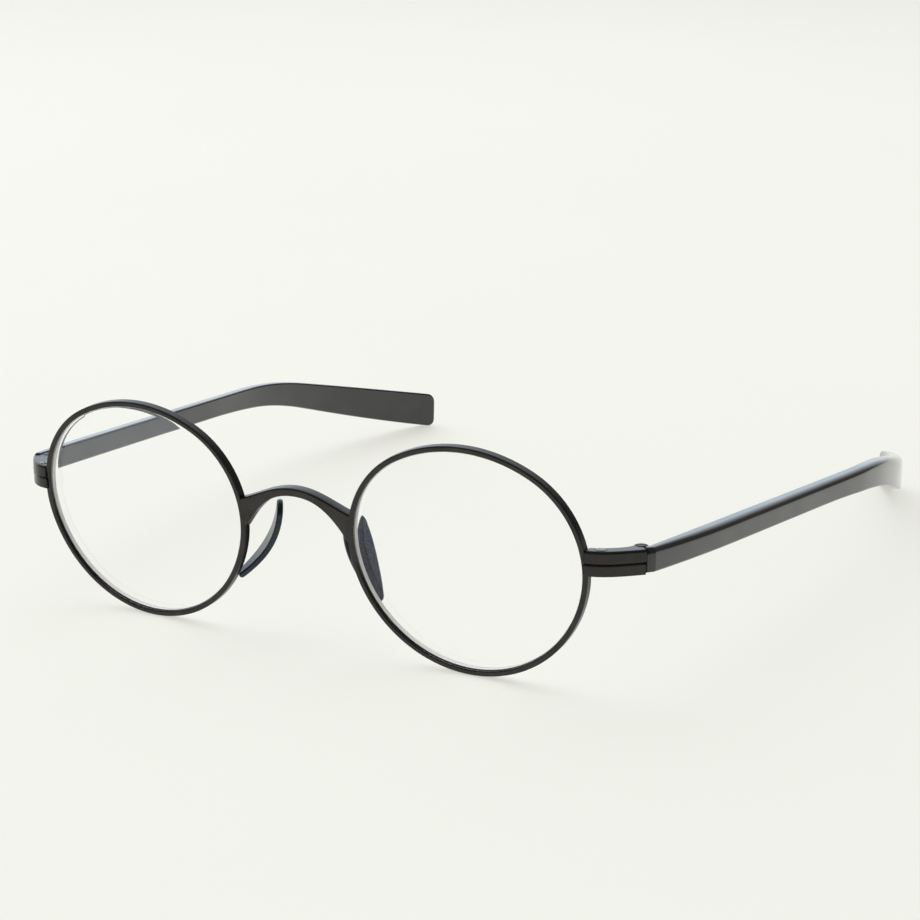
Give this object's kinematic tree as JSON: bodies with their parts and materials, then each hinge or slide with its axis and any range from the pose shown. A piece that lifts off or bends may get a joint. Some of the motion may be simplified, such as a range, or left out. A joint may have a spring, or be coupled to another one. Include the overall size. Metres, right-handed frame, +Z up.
{
  "type": "round wire eyeglasses",
  "caption": "Round wire-rim eyeglasses with a saddle bridge, leaf nose pads, split endpieces and folding black acetate temples.",
  "frame": {"origin": "on the surface the open glasses stand on, under the middle of their box", "axes": "+X towards the wearer's left, +Y from the front back to the temple tips, +Z up"},
  "size_m": [0.1454, 0.1458, 0.0412],
  "materials": {
    "frame_metal": "satin near-black coating over metal",
    "lens": "clear and polished, with an anti-reflection coating",
    "pad": "satin dark coating",
    "screw": "fine turned steel",
    "acetate": "polished black acetate",
    "core_wire": "drawn wire"
  },
  "bodies": {
    "front": {"rim_left": "frame_metal", "rim_right": "frame_metal", "lens_left": "lens", "lens_right": "lens", "bridge": "frame_metal", "nose_pad_left": "pad", "nose_pad_right": "pad", "endpiece_upper_left": "frame_metal", "endpiece_upper_right": "frame_metal", "endpiece_lower_left": "frame_metal", "endpiece_lower_right": "frame_metal", "closing_screw_left": "screw", "closing_screw_right": "screw", "hinge_screw_left": "screw", "hinge_screw_right": "screw"},
    "temple_arm_left": {"temple_left": "acetate", "temple_core_left": "core_wire", "hinge_leaf_left": "frame_metal", "hinge_washers_left": "screw"},
    "temple_arm_right": {"temple_right": "acetate", "temple_core_right": "core_wire", "hinge_leaf_right": "frame_metal", "hinge_washers_right": "screw"}
  },
  "joints": [
    {"name": "hinge_left", "type": "hinge", "parent": "front", "child": "temple_arm_left", "pos_m": [0.0621, -0.06249, 0.02328], "axis": [0, 0, 1], "range_deg": [0, 93]},
    {"name": "hinge_right", "type": "hinge", "parent": "front", "child": "temple_arm_right", "pos_m": [-0.0621, -0.06249, 0.02328], "axis": [0, 0, -1], "range_deg": [0, 85]}
  ]
}
